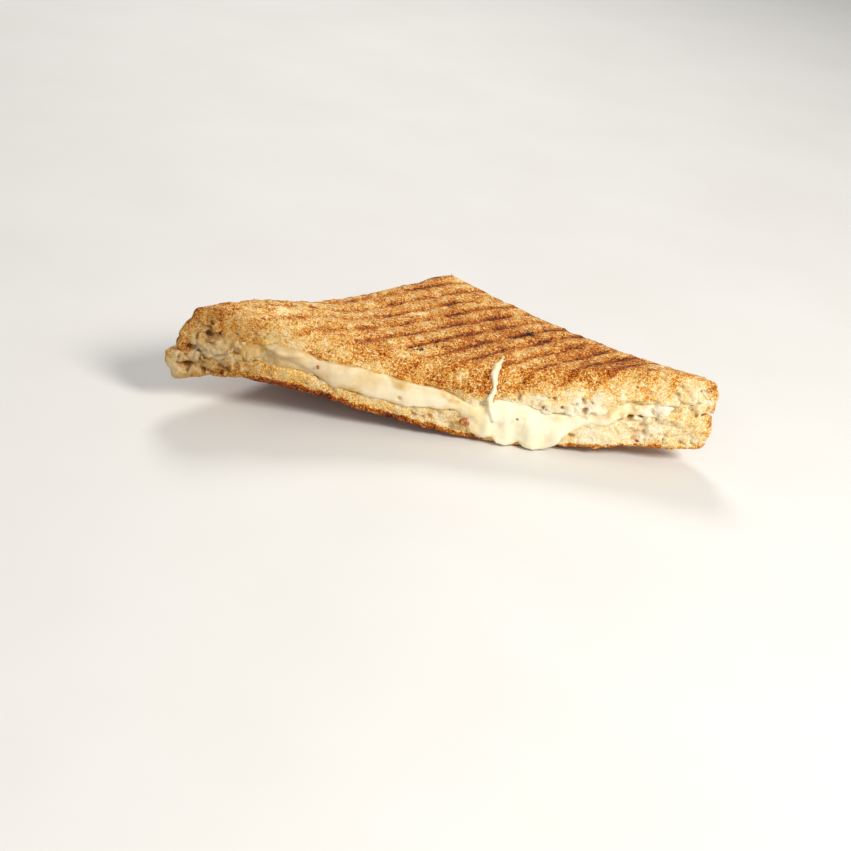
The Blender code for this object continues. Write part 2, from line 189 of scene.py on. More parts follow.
# The strand pulled up over the top slice: (x, y, radius), and below it: place, radius
STRAND_OVER = (
    (18.8, -26.0, 0.12), (17.4, -27.8, 0.28), (16.8, -30.4, 0.5), (15.6, -33.0, 1.15), (14.8, -35.2, 1.1),
    (15.3, -37.2, 0.8),
)
STRAND_SUNK = 0.5  # how deep it lies in the toast, as a share of its radius
STRAND_DOWN = (
    ((15.2, -38.8, 18.0), 0.6), ((14.3, -39.2, 15.4), 0.85), ((15.0, -40.0, 12.2), 0.5),
    ((16.4, -40.4, 9.0), 0.6),
)
FRINGE_HOLES = (
    ((35.7, CUT_Y - 0.6, 15.2), 0.6), ((41.9, CUT_Y - 0.6, 17.2), 0.9), ((42.3, CUT_Y - 0.6, 14.4), 0.8),
    ((44.9, CUT_Y - 0.6, 13.9), 1.0), ((30.0, CUT_Y - 0.6, 14.0), 0.6), ((32.9, CUT_Y - 0.4, 17.7), 0.6),
)
CHEESE_HOLES = (
    ((24.9, -40.6, 10.6), 0.5), ((-12.0, -39.4, 12.0), 0.7), ((53.0, -39.0, 15.0), 0.6),
)

# Crumbs: x, y, size of the burnt ones on the top; place, size of the loose toasted ones
BURNT = (
    (-9.9, -27.9, 0.45), (-9.0, -28.4, 0.4), (-8.1, -28.0, 0.5), (-7.2, -28.3, 0.35), (-6.7, -27.4, 0.45),
    (-8.8, -26.8, 0.4), (-7.7, -26.9, 0.3), (-2.3, -25.5, 0.35), (-0.7, -25.4, 0.4), (-0.2, -24.8, 0.3),
    (26.8, -7.8, 0.6), (27.5, -6.9, 0.5), (26.2, -6.9, 0.42), (27.4, -8.9, 0.4), (26.0, -8.6, 0.35),
    (27.0, -5.9, 0.35), (3.5, -21.5, 0.25), (1.6, -33.2, 0.25), (18.2, -36.6, 0.35), (14.7, -33.4, 0.28),
    (42.0, -15.0, 0.3), (9.0, -29.0, 0.22), (-15.0, -20.0, 0.22), (33.0, -20.0, 0.25),
)
CRUMBS = (
    ((7.5, CUT_Y - 1.4, 7.3), 1.1), ((8.8, CUT_Y - 1.3, 6.5), 0.6), ((-36.4, -40.4, 19.6), 0.55),
    ((23.0, -41.6, 11.0), 0.4),
)
GRIT_COUNT = 420  # crumbs of toast left on the top
GRIT_SIZES = (0.16, 0.42)

# Colours as seen on a screen
BROWNING = (
    (0.0, (253, 242, 216)), (0.1, (247, 226, 180)), (0.2, (239, 204, 132)), (0.3, (230, 178, 82)),
    (0.42, (214, 140, 42)), (0.55, (190, 102, 24)), (0.68, (160, 74, 18)), (0.82, (112, 48, 18)),
    (1.0, (44, 24, 17)),
)
STAIN = (252, 232, 160)
# Painted shade, deeper into the bread's pores
PORE_SHADE_TINT = (212, 178, 130)
# Painted shade: what the torn left end's bread and cheese are multiplied by
SHADE_TINT = (196, 178, 150)
CHEESE_SHADE_TINT = (220, 200, 172)
CHEESE_TONES = ((0.3, (240, 228, 194)), (0.5, (245, 235, 206)), (0.7, (241, 222, 172)))
PALE_CHEESE = (240, 228, 200)
# Soaked cheese, also painted as shade below the melted edge
SOAKED_AND_SHADED_CHEESE = (216, 182, 112)
TOASTED_CHEESE = (222, 156, 66)
# Painted shade in the cheese's holes, deeper and yellower
HOLE_SHADE_CHEESE = (222, 180, 60)
BURNT_TONES = ((0.3, (26, 18, 14)), (0.7, (66, 36, 22)))
CRUMB_TONES = ((0.3, (206, 130, 60)), (0.7, (150, 84, 36)))
GRIT_TONES = ((0.3, (120, 62, 30)), (0.5, (196, 124, 56)), (0.7, (240, 206, 140)))
FLOOR_TONES = ((0.3, (220, 218, 213)), (0.7, (224, 222, 218)))

# Studio, in mm and watts: name, place, target, size, power, colour
FLOOR_HALF = 4000
LIGHTS = (
    ("key", (420, -400, 480), (30, -20, 10), 260, 5.2, (1.0, 0.96, 0.9)),
    ("fill", (-450, -700, 420), (-10, -20, 10), 700, 1.5, (0.97, 0.98, 1.0)),
    ("back", (-60, 600, 620), (0, 0, 20), 300, 3.2, (1.0, 0.98, 0.95)),
)
WORLD_COLOUR = (0.95, 0.97, 1.0, 1.0)
WORLD_STRENGTH = 0.32
CAMERA_AZIMUTH = -3.97
CAMERA_ELEVATION = 28.34
CAMERA_ROLL = 8.53
CAMERA_DISTANCE = 477.0
CAMERA_TARGET = (-1.02, -8.16, -12.65)
LENS = 63.45
SENSOR = 36.0


def smooth(t):
    t = np.clip(t, 0, 1)
    return t * t * (3 - 2 * t)


def smooth_min(a, b, k):
    """The smaller of two distances, with the edge between them rounded over k."""
    h = np.clip(0.5 + 0.5 * (b - a) / k, 0, 1)
    return b + (a - b) * h - k * h * (1 - h)


def smooth_max(a, b, k):
    return -smooth_min(-a, -b, k)


# ---------------------------------------------------------------- distance fields


class Field:
    """A solid as signed distances on voxels: negative inside."""

    def __init__(self, first, values):
        self.first = np.array(first)
        self.values = values

    @classmethod
    def of_node(cls, node):
        """The CAD node's level set, facets and all; blur smooths them away."""
        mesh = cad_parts[node].data
        mesh.calc_loop_triangles()
        points = np.empty(len(mesh.vertices) * 3, np.float32)
        mesh.vertices.foreach_get("co", points)
        corners = np.empty(len(mesh.loop_triangles) * 3, np.int32)
        mesh.loop_triangles.foreach_get("vertices", corners)
        grid = openvdb.FloatGrid.createLevelSetFromPolygons(
            points.reshape(-1, 3) / MM,
            triangles=corners.reshape(-1, 3).astype(np.uint32),
            transform=openvdb.createLinearTransform(voxelSize=VOXEL),
            halfWidth=float(BAND),
        )
        first, last = grid.evalActiveVoxelBoundingBox()
        values = np.empty([last[i] - first[i] + 1 for i in range(3)], np.float32)
        grid.copyToArray(values, ijk=first)
        return cls(first, values)

    def copy(self):
        return Field(self.first, self.values.copy())

    def axes(self):
        """x, y and z of the voxels, shaped to be combined with the values."""
        ends = [(self.first[i] + np.arange(n)) * VOXEL for i, n in enumerate(self.values.shape)]
        return ends[0][:, None, None], ends[1][None, :, None], ends[2][None, None, :]

    def blur(self, times):
        """Rounds the solid a little, by averaging each voxel with its neighbours."""
        for _ in range(times):
            for axis in range(3):
                v = np.moveaxis(self.values, axis, 0)
                v[1:-1] = (v[:-2] + 2 * v[1:-1] + v[2:]) / 4
        return self

    def at(self, points, values=None):
        """The field, or other values on the same voxels, read at points in mm."""
        values = self.values if values is None else values
        place = np.asarray(points) / VOXEL - self.first
        place = np.clip(place, 0, np.array(values.shape) - 1.001)
        cell = place.astype(int)
        t = place - cell
        found = 0
        for corner in np.ndindex(2, 2, 2):
            weight = np.prod(np.where(corner, t, 1 - t), axis=1)
            i, j, k = (cell + corner).T
            found = found + weight * values[i, j, k]
        return found

    def window(self, low, high):
        """The slices of the voxels between two corners, and their x, y and z."""
        start = np.maximum(np.floor(np.asarray(low) / VOXEL).astype(int) - self.first, 0)
        stop = np.minimum(
            np.ceil(np.asarray(high) / VOXEL).astype(int) - self.first + 1, self.values.shape
        )
        part = tuple(slice(a, max(a, b)) for a, b in zip(start, stop))
        ends = [(self.first[i] + np.arange(s.start, s.stop)) * VOXEL for i, s in enumerate(part)]
        return part, ends[0][:, None, None], ends[1][None, :, None], ends[2][None, None, :]

    def noise(self, scale, seed):
        """Smooth random values of unit spread: `scale` is the features' size, or three sizes."""
        rng = np.random.default_rng([SEED, seed])
        steps = np.broadcast_to(scale, 3) / VOXEL
        counts = [int(n / step) + 5 for n, step in zip(self.values.shape, steps)]
        values = rng.standard_normal(counts).astype(np.float32)
        for axis, size in enumerate(self.values.shape):
            place = np.arange(size) / steps[axis]
            cell = place.astype(int)
            t = (place - cell).astype(np.float32)
            weights = (
                (1 - t) ** 3 / 6,
                (3 * t**3 - 6 * t**2 + 4) / 6,
                (-3 * t**3 + 3 * t**2 + 3 * t + 1) / 6,
                t**3 / 6,
            )
            shape = [1, 1, 1]
            shape[axis] = size
            values = sum(
                w.reshape(shape) * values.take(cell + k, axis) for k, w in enumerate(weights)
            )
        return values / values.std()


def ball_distance(x, y, z, centre, radii):
    """Rough distance to an ellipsoid."""
    reach = sum(((v - c) / r) ** 2 for v, c, r in zip((x, y, z), centre, radii))
    return (np.sqrt(reach) - 1) * min(radii)


def carve(field, centre, radii, edge):
    """Takes an ellipsoid out of the solid, with its rim rounded over `edge`."""
    radii = np.asarray(radii, float)
    part, x, y, z = field.window(centre - radii - edge, centre + radii + edge)
    hole = ball_distance(x, y, z, centre, radii)
    field.values[part] = smooth_max(field.values[part], -hole, edge)


def add_ball(field, centre, radii, edge):
    """Adds an ellipsoid to the solid, and fills the corner between them over `edge`."""
    radii = np.asarray(radii, float)
    reach = radii + 2 * edge
    part, x, y, z = field.window(centre - reach, centre + reach)
    ball = ball_distance(x, y, z, centre, radii)
    field.values[part] = smooth_min(field.values[part], ball, edge)


def first_surface(field, axis, backwards=False):
    """Where each line of voxels along an axis enters the solid, in mm: nan where it misses."""
    inside = field.values < 0
    missed = ~inside.any(axis=axis)
    if backwards:
        place = field.values.shape[axis] - 0.5 - np.flip(inside, axis).argmax(axis=axis)
    else:
        place = inside.argmax(axis=axis) - 0.5
    place = (field.first[axis] + place) * VOXEL
    place[missed] = np.nan
    return place


def map_at(field, surface, axis, points):
    """Reads such a map at points in mm, from the nearest line of voxels."""
    kept = [i for i in range(3) if i != axis]
    cells = np.round(np.asarray(points)[:, kept] / VOXEL).astype(int) - field.first[kept]
    cells = np.clip(cells, 0, np.array(surface.shape) - 1)
    return surface[cells[:, 0], cells[:, 1]]


def grown(surface, times):
    """Such a map, continued that many voxels past its edges."""
    for _ in range(times):
        wide = np.pad(surface, 1, constant_values=np.nan)
        around = np.stack([wide[:-2, 1:-1], wide[2:, 1:-1], wide[1:-1, :-2], wide[1:-1, 2:]])
        known = np.isfinite(around).sum(axis=0)
        mean = np.nansum(around, axis=0) / np.maximum(known, 1)
        surface = np.where(np.isnan(surface) & (known > 0), mean, surface)
    return surface


# ---------------------------------------------------------------- from field to mesh


def largest_part(count, quads):
    """Marks the points of the biggest connected piece, so that loose flakes can be dropped."""
    label = np.arange(count)
    ends = np.concatenate([quads[:, [0, 1]], quads[:, [1, 2]], quads[:, [2, 3]], quads[:, [3, 0]]])
    while True:
        low = np.minimum(label[ends[:, 0]], label[ends[:, 1]])
        new = label.copy()
        np.minimum.at(new, ends[:, 0], low)
        np.minimum.at(new, ends[:, 1], low)
        new = new[new]
        if (new == label).all():
            break
        label = new
    return label == np.bincount(label).argmax()


def mesh_of_field(name, field):
    """The field's surface above the floor as a mesh in mm, without loose flakes."""
    values = np.maximum(field.values, -field.axes()[2]).astype(np.float32)
    grid = openvdb.FloatGrid(float(values.max()))
    grid.copyFromArray(values, ijk=tuple(int(i) for i in field.first))
    grid.transform = openvdb.createLinearTransform(voxelSize=VOXEL)
    points, _, quads = grid.convertToPolygons(isovalue=0.0, adaptivity=0.0)
    quads = quads[:, ::-1].astype(np.int64)
    keep = largest_part(len(points), quads)
    index = np.cumsum(keep) - 1
    return mesh_of(name, points[keep], index[quads[keep[quads[:, 0]]]])


def mesh_of(name, points, faces):
    """A mesh from arrays; every face has as many corners as the others."""
    mesh = bpy.data.meshes.new(name)
    mesh.vertices.add(len(points))
    mesh.vertices.foreach_set("co", np.asarray(points, np.float32).ravel())
    mesh.loops.add(faces.size)
    mesh.loops.foreach_set("vertex_index", faces.astype(np.int32).ravel())
    mesh.polygons.add(len(faces))
    starts = np.arange(0, faces.size, faces.shape[1], dtype=np.int32)
    mesh.polygons.foreach_set("loop_start", starts)
    mesh.update(calc_edges=True)
    return mesh


def points_of(mesh):
    points = np.empty(len(mesh.vertices) * 3, np.float32)
    mesh.vertices.foreach_get("co", points)
    return points.reshape(-1, 3).astype(np.float64)


def thin_out(mesh, hidden, target):
    """Merges faces, above all hidden ones, until about `target` triangles are left."""
    helper = bpy.data.objects.new("thinning", mesh)
    bpy.context.scene.collection.objects.link(helper)
    group = helper.vertex_groups.new(name="hidden")
    group.add(np.arange(len(mesh.vertices)).tolist(), SEEN_WEIGHT, "REPLACE")
    group.add(np.flatnonzero(hidden).tolist(), 1.0, "REPLACE")
    thinner = helper.modifiers.new("thinner", "DECIMATE")
    thinner.ratio = min(1.0, target / (2 * len(mesh.polygons)))
    thinner.vertex_group = group.name
    thinner.vertex_group_factor = HIDDEN_WEIGHT
    graph = bpy.context.evaluated_depsgraph_get()
    made = bpy.data.meshes.new_from_object(helper.evaluated_get(graph))
    bpy.data.objects.remove(helper)
    bpy.data.meshes.remove(mesh)
    return made


def make_piece(name, mesh, marks, material):
    """Turns a mesh in mm into a piece of the object, with the values in `marks` on its points."""
    mesh.name = name
    for key, values in marks.items():
        attribute = mesh.attributes.new(key, "FLOAT", "POINT")
        attribute.data.foreach_set("value", np.asarray(values, np.float32))
    mesh.transform(Matrix.Scale(MM, 4))
    mesh.validate()
    mesh.shade_smooth()
    mesh.materials.clear()
    mesh.materials.append(material)
    piece = bpy.data.objects.new(name, mesh)
    bpy.context.scene.collection.objects.link(piece)
    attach(piece, "root")
    return piece


# ---------------------------------------------------------------- places on the slices


def crust_distance(points, high):
    """How far points lie inside a slice's outline as seen from above, away from its crusts."""
    root2 = math.sqrt(2)
    half = (high[1] - CUT_Y + SLICE_CORNER * (root2 - 1)) / root2 - SLICE_CORNER
    x = np.abs(points[:, 0] - high[0] + high[1] - CUT_Y)
    y = points[:, 1] - CUT_Y
    p = (x + y) / root2 - half
    q = np.abs(x - y) / root2 - half
    outside = np.hypot(np.maximum(p, 0), np.maximum(q, 0))
    return SLICE_CORNER - outside - np.minimum(np.maximum(p, q), 0)


def rim_map(field, high):
    """The distance from the crusts, over the voxels as seen from above."""
    x, y, _ = field.axes()
    places = np.stack(np.broadcast_arrays(x[..., 0], y[..., 0]), -1)
    return crust_distance(places.reshape(-1, 2), high).reshape(places.shape[:2])


def mark_distance(points):
    """How far points lie from the middle of the nearest grill mark."""
    x, y = points[:, 0] - MID_X, points[:, 1] - CUT_Y
    across = y * math.cos(MARK_ANGLE) - x * math.sin(MARK_ANGLE) - MARK_PHASE
    return np.abs((across / MARK_PITCH + 0.5) % 1.0 - 0.5) * MARK_PITCH


def jittered(rng, low, high, spacing):
    """Points over a rectangle, one at a random place in each cell."""
    sides = [np.arange(a, b, spacing) for a, b in zip(low, high)]
    grid = np.stack(np.meshgrid(*sides, indexing="ij"), -1).reshape(-1, 2)
    return grid + rng.uniform(0, spacing, grid.shape)


def ramp(value, stops):
    """A piecewise linear curve through (place, height) pairs."""
    places, heights = zip(*stops)
    return np.interp(value, places, heights)


# ---------------------------------------------------------------- bread


def roughness(field, reach, face, rim, seed):
    """Uneven toast all over the slice, and torn crumb from the cut to `reach` behind it.

    The crumb's relief fades out towards the toasted `face` and the crusts, `rim` away.
    """
    x, y, z = field.axes()
    torn = smooth((CUT_Y + reach - y) / 3) + 0.6 * smooth((TORN_END - x) / 8)
    calm = smooth(np.nan_to_num(np.abs(face[:, :, None] - z)) / CALM_DEPTH) * smooth(rim / CALM_DEPTH)[:, :, None]
    toast = sum(size * field.noise(scale, seed + i) for i, (scale, size) in enumerate(TOAST_NOISE))
    crumb = sum(size * field.noise(scale, seed + 9 + i) for i, (scale, size) in enumerate(CRUMB_NOISE))
    for i, (scale, size) in enumerate(CRUMB_CELLS):
        crumb += size * (0.5 - np.abs(field.noise(scale, seed + 12 + i))).clip(-0.8, 0.4)
    return toast + np.minimum(torn, 1.2) * ramp(x, CRUMB_ALONG) * calm * crumb


def open_pores(field, reach, face, rim, spacing, sizes, seed):
    """Carves the crumb's holes where the cut laid them open, but not in the toasted face or the crusts."""
    rng = np.random.default_rng([SEED, seed])
    front = first_surface(field, 1)
    low = field.first[[0, 2]] * VOXEL
    high = low + np.array(field.values.shape)[[0, 2]] * VOXEL
    places = jittered(rng, low, high, spacing)
    radii = rng.uniform(*sizes, len(places))[:, None] * rng.uniform(PORE_LOW, PORE_HIGH, (len(places), 3))
    depth = rng.uniform(-0.2, 0.6, len(places))
    spots = np.column_stack([places[:, 0], np.zeros(len(places)), places[:, 1]])
    spots[:, 1] = map_at(field, front, 1, spots)
    under = np.abs(map_at(field, face, 2, spots) - spots[:, 2]) - radii[:, 2]
    kept = (rng.random(len(places)) < ramp(places[:, 0], PORES_ALONG)) & (under > SKIN)
    kept &= map_at(field, rim, 2, spots) > CALM_DEPTH
    for spot, radius, deep in zip(spots[kept], radii[kept], depth[kept]):
        if spot[1] < CUT_Y + reach:
            carve(field, spot + (0, deep * radius[1], 0), radius, PORE_RIM)


def pit_toast(field, low, high, above, spacing, sizes, seed):
    """Presses small pits into the toasted face."""
    rng = np.random.default_rng([SEED, seed])
    face = first_surface(field, 2, backwards=above)
    places = jittered(rng, low[:2], high[:2], spacing)
    radii = rng.uniform(*sizes, len(places))
    spots = np.column_stack([places, np.zeros(len(places))])
    spots[:, 2] = map_at(field, face, 2, spots)
    for spot, radius in zip(spots, radii):
        if np.isfinite(spot[2]):
            carve(field, spot, (radius, radius, PIT_DEPTH * radius), PORE_RIM)


def hang_sheet(field, low, out, top, back, folds=0):
    """Adds a sheet that hangs in front of the cut, down to the `low` stops and standing `out`."""
    x, y, z = field.axes()
    ahead = CUT_Y - ramp(x, out) * (0.3 + 0.7 * smooth((top - z) / 5)) - y - folds
    sheet = smooth_max(ahead, ramp(x, low) - z, 1.6)
    sheet = smooth_max(sheet, np.maximum(z - top, y - CUT_Y - back), 1.0)
    field.values[:] = smooth_min(field.values, sheet, 1.2)


def lower_edge(field):
    """How high a slice's lower edge lies just behind the cut, along x."""
    under = first_surface(field, 2)
    row = int(round((CUT_Y + 1.2) / VOXEL)) - field.first[1]
    return np.nan_to_num(under[:, row], nan=-FAR)[:, None, None]


def build_slice(name, above, reach, tufts, cavities, seed):
    """One slice of bread, the same before it was pitted, and a map of its toasted face."""
    field = Field.of_node(name).blur(2)
    field.values -= SWELL
    face = grown(first_surface(field, 2, backwards=above), FACE_MARGIN)
    for centre, radii in tufts:
        add_ball(field, np.array(centre), radii, 0.8)
    if above:
        hang_sheet(field, FRINGE_LOW, FRINGE_OUT, lower_edge(field) + FRINGE_LIFT, FRINGE_BACK)
    whole = field.copy()
    for centre, radii in cavities:
        carve(field, np.array(centre), radii, 0.5)
    rim = rim_map(field, TOP_HIGH if above else BOTTOM_HIGH)
    for i, (spacing, sizes) in enumerate(PORES):
        open_pores(field, reach, face, rim, spacing, sizes, seed + 20 + i)
    rough = roughness(field, reach, face, rim, seed)
    field.values += rough
    whole.values += rough
    return field, whole, face


def noise_at(field, points, size, seed):
    """The field's noise at points, without its rare extremes."""
    return np.clip(field.at(points, field.noise(size, seed)), -2, 2)


def stained(points, cheese, field, seed):
    """How much molten cheese soaked into the bread here."""
    wander = field.at(points, field.noise(3, seed))
    near = smooth((STAIN_REACH + 0.8 * wander - cheese.at(points)) / 2.5)
    return near * ramp(points[:, 0], STAIN_ALONG)


def walled(points, high, middle):
    """1 on the crust at the back, 0 on the toasted faces and the crumb."""
    rim = crust_distance(points, high)
    return 1 - smooth((rim - ramp(points[:, 0], CRUST_DEPTH) - 0.3 * middle) / 1.2)


def top_browning(points, field, face):
    """How brown the top slice is here: 0 is white crumb, 1 is burnt."""
    x, y, z = points.T
    wide, middle, small, fine = (noise_at(field, points, size, 60 + i) for i, size in enumerate((12, 4, 1.8, 0.9)))
    below = np.nan_to_num(map_at(field, face, 2, points) - z, nan=FAR)
    skin = 1 - smooth((below - 1.0 - 0.2 * np.clip(middle, -1, 1)) / 1.0)
    off = mark_distance(points) + 0.28 * small + 0.2 * fine
    line = np.exp(-((off / MARK_WIDTH) ** 2)) * np.clip(0.95 + 0.2 * middle + 0.2 * small, 0.35, 1.25)
    edge = CUT_Y + ramp(x, PALE_ZONE) + 1.2 * middle + 0.7 * small
    reach = ramp(x, MARK_REACH) * np.minimum(line, 1)
    toasted = smooth((y - edge + reach) / 4.0 + 0.5) * skin
    tone = ramp(x, TOP_TONE) + np.maximum(0.04 * wide + 0.04 * middle, -0.06) + 0.05 * small + 0.05 * fine
    for spot_x, spot_y, reach, share in PALE_SPOTS:
        tone -= share * np.exp(-((x - spot_x) ** 2 + (y - spot_y) ** 2) / reach**2)
    rim = crust_distance(points, TOP_HIGH)
    tone += ramp(x, RIM_TONE) * np.exp(-(((rim - 1.2) / 1.5) ** 2))
    tone += line * ramp(x, MARK_TONE) * (0.45 + 0.55 * smooth((y - edge) / 5))
    crumb = ramp(x, FRONT_TONE) + 0.04 * wide + 0.05 * middle + 0.05 * small
    crumb *= smooth(1 - below / 7)
    top = crumb + toasted * (tone - crumb)
    wall = walled(points, TOP_HIGH, middle)
    return top + wall * np.clip(ramp(x, CRUST_TONE) + 0.06 * middle + 0.05 * small - top, 0, 1)


def bottom_browning(points, field, face):
    x, y, z = points.T
    wide, middle, small = (noise_at(field, points, size, 70 + i) for i, size in enumerate((12, 4, 1.6)))
    above = np.nan_to_num(z - map_at(field, face, 2, points), nan=FAR)
    skin = 1 - smooth((above - ramp(x, EDGE_DEPTH) - 0.2 * small) / 0.9)
    crumb = ramp(x, LOWER_TONE) + ramp(x, LOWER_GLOW) * np.exp(-np.abs(above) / GLOW_DEPTH)
    crumb += 0.03 * middle + 0.03 * small
    tone = ramp(x, EDGE_TONE) + 0.08 * middle + 0.05 * small + 0.04 * wide
    low = crumb + skin * (tone - crumb)
    wall = walled(points, BOTTOM_HIGH, middle)
    return low + wall * np.clip(ramp(x, CRUST_TONE) + 0.06 * middle + 0.05 * small - low, 0, 1)


def sunk(points, whole):
    """How deep in a pore a point lies, by which the materials paint shade into the pores."""
    return np.clip(-whole.at(points) / PORE_DARK, 0, 1)


# ---------------------------------------------------------------- cheese


def add_rod(field, start, end, radii, edge):
    """Adds a rod whose radius changes evenly from one end to the other."""
    start, end = np.array(start, float), np.array(end, float)
    reach = max(radii) + 2 * edge
    part, x, y, z = field.window(np.minimum(start, end) - reach, np.maximum(start, end) + reach)
    along = end - start
    t = ((x - start[0]) * along[0] + (y - start[1]) * along[1] + (z - start[2]) * along[2]) / (along @ along)
    t = np.clip(t, 0, 1)
    off = [v - (s + t * a) for v, s, a in zip((x, y, z), start, along)]
    gap = np.sqrt(sum(d * d for d in off)) - (radii[0] + t * (radii[1] - radii[0]))
    field.values[part] = smooth_min(field.values[part], gap, edge)


def build_cheese(top):
    """(field, field before its holes) of the cheese, whose strand lies on the top slice."""
    field = Field.of_node("cheese").blur(3)
    x, y, z = field.axes()
    front = smooth((CUT_Y + 4 - y) / 3)
    body = smooth((x - SOAKED_END) / 6) * smooth((WHITE_FROM - x) / 6)
    low, high = ramp(x, BAND_LOW), ramp(x, BAND_HIGH)
    level = np.clip((z - low) / (high - low), 0, 1)
    bulge = ramp(x, BAND_BULGE) * np.sqrt(np.sin(np.pi * level))
    wander = 0.5 * field.noise((4, 40, 3), 80)
    field.values[:] = smooth_max(field.values, CUT_Y - bulge - y, 0.8)
    field.values[:] = smooth_max(field.values, z - high - wander - 20 * smooth((y - CUT_Y - 1) / 6), 0.8)
    add_ball(field, CREST[0], CREST[1], 1.2)
    folds = sum(size * field.noise(scale, 84 + i) for i, (scale, size) in enumerate(CURTAIN_FOLDS))
    folds *= smooth((x - 6) / 5) * smooth((56 - x) / 14)
    hang_sheet(field, CURTAIN_LOW, CURTAIN_OUT, ramp(x, CURTAIN_TOP), CURTAIN_BACK, folds)
    field.values += front * body * sum(size * field.noise(scale, 87 + i) for i, (scale, size) in enumerate(FOLDS))
    field.values -= 0.3 * front * body
    torn = front * (1 - body)
    field.values += torn * (ramp(x, RECESS) + 0.25 * field.noise(2.2, 82) + 0.25 * field.noise(1.1, 83))
    for start, end in zip(strand(top), strand(top)[1:]):
        add_rod(field, start[0], end[0], (start[1], end[1]), 0.6)
    field.values += front * 0.05 * field.noise(1.3, 91)
    whole = field.copy()
    for centre, radius in CHEESE_HOLES:
        carve(field, np.array(centre), (radius, radius, radius), 0.3)
    return field, whole


def strand(top):
    """The strand's places and radii, from its thin end down."""
    over = on_face(top, [(x, y, 0) for x, y, _ in STRAND_OVER], 2, True, 0.1)
    radii = [radius for _, _, radius in STRAND_OVER]
    sunken = [(place - (0, 0, STRAND_SUNK * radius), radius) for place, radius in zip(over, radii)]
    return sunken + list(STRAND_DOWN)


def strand_share(points, top):
    """1 on the strand that was pulled up over the top slice, 0 on the rest of the cheese."""
    nearest = np.full(len(points), FAR)
    rods = strand(top)[:-1]
    for start, end in zip(rods, rods[1:]):
        a, b = np.array(start[0]), np.array(end[0])
        t = np.clip((points - a) @ (b - a) / ((b - a) @ (b - a)), 0, 1)
        nearest = np.minimum(nearest, np.linalg.norm(points - a - t[:, None] * (b - a), axis=1))
    return 1 - smooth((nearest - 0.9) / 1.0)


# ---------------------------------------------------------------- crumbs


def lumps(name, places, sizes, flat, seed):
    """A mesh of small irregular lumps, one at each place."""
    ball = bmesh.new()
    bmesh.ops.create_icosphere(ball, subdivisions=2, radius=1)
    corners = np.array([vert.co for vert in ball.verts])
    faces = np.array([[vert.index for vert in face.verts] for face in ball.faces])
    ball.free()
    rng = np.random.default_rng([SEED, seed])
    points = []
    for place, size in zip(places, sizes):
        bumps = 1 + 0.22 * rng.standard_normal(len(corners))
        stretch = rng.uniform(0.6, 1.2, 3) * size
        turn = np.linalg.qr(rng.standard_normal((3, 3)))[0]
        shape = (corners * np.clip(bumps, 0.6, 1.5)[:, None] * stretch) @ turn
        points.append(shape * (1, 1, flat) + place)
    count = len(corners)
    joined = np.concatenate([faces + count * i for i in range(len(points))])
    return mesh_of(name, np.concatenate(points), joined)


def on_face(field, places, axis, backwards, lift):
    """Puts points on the first surface met along an axis, `lift` out of it."""
    surface = first_surface(field, axis, backwards)
    places = np.array(places, float)
    places[:, axis] = map_at(field, surface, axis, places) + (lift if backwards else -lift)
    return places[np.isfinite(places).all(axis=1)]


# ---------------------------------------------------------------- materials


def srgb(red, green, blue):
    """A colour as seen on a screen, as the linear RGBA that a shader takes."""
    def linear(v):
        v /= 255
        return v / 12.92 if v <= 0.04045 else ((v + 0.055) / 1.055) ** 2.4
    return (linear(red), linear(green), linear(blue), 1.0)


class Shading:
    """Short calls that build one material's nodes."""

    def __init__(self, name):
        self.material = bpy.data.materials.new(name)
        self.material.use_nodes = True
        self.tree = self.material.node_tree
        self.shader = self.tree.nodes["Principled BSDF"]
        self.place = self.add("ShaderNodeTexCoord").outputs["Object"]

    def add(self, kind, settings=None, **sockets):
        node = self.tree.nodes.new(kind)
        for key, value in (settings or {}).items():
            setattr(node, key, value)
        for key, value in sockets.items():
            self.put(node.inputs[key], value)
        return node

    def put(self, socket, value):
        if isinstance(value, bpy.types.NodeSocket):
            self.tree.links.new(value, socket)
        else:
            socket.default_value = value

    def shade(self, **sockets):
        """Sets the shader's own sockets, with _ for a space in their names."""
        for key, value in sockets.items():
            self.put(self.shader.inputs[key.replace("_", " ")], value)

    def attribute(self, key):
        return self.add("ShaderNodeAttribute", {"attribute_name": key}).outputs["Fac"]

    def noise(self, size, detail=2.0, roughness=0.5):
        """Noise from 0 to 1, with features about `size` mm across."""
        return self.add(
            "ShaderNodeTexNoise", Vector=self.place, Scale=1 / (size * MM), Detail=detail, Roughness=roughness
        ).outputs["Fac"]

    def math(self, operation, *values, clamp=False):
        node = self.add("ShaderNodeMath", {"operation": operation, "use_clamp": clamp})
        for socket, value in zip(node.inputs, values):
            self.put(socket, value)
        return node.outputs[0]

    def spread(self, value, low, high, new_low=0.0, new_high=1.0):
        """Stretches low to high of a value over new_low to new_high."""
        return self.add("ShaderNodeMapRange", None, **{
            "Value": value, "From Min": low, "From Max": high, "To Min": new_low, "To Max": new_high
        }).outputs["Result"]

    def colours(self, share, stops):
        node = self.add("ShaderNodeValToRGB", Fac=share)
        elements = node.color_ramp.elements
        while len(elements) < len(stops):
            elements.new(0.5)
        for element, (place, colour) in zip(elements, stops):
            element.position = place
            element.color = srgb(*colour)
        return node.outputs["Color"]

    def mix(self, share, first, second, blend="MIX"):
        node = self.add("ShaderNodeMix", {"data_type": "RGBA", "blend_type": blend})
        self.put(node.inputs["Factor"], share)
        self.put(node.inputs[6], first)
        self.put(node.inputs[7], second)
        return node.outputs[2]

    def bump(self, height, distance, strength=1.0, under=None):
        node = self.add("ShaderNodeBump", Height=height, Distance=distance * MM, Strength=strength)
        if under is not None:
            self.put(node.inputs["Normal"], under)
        return node.outputs["Normal"]


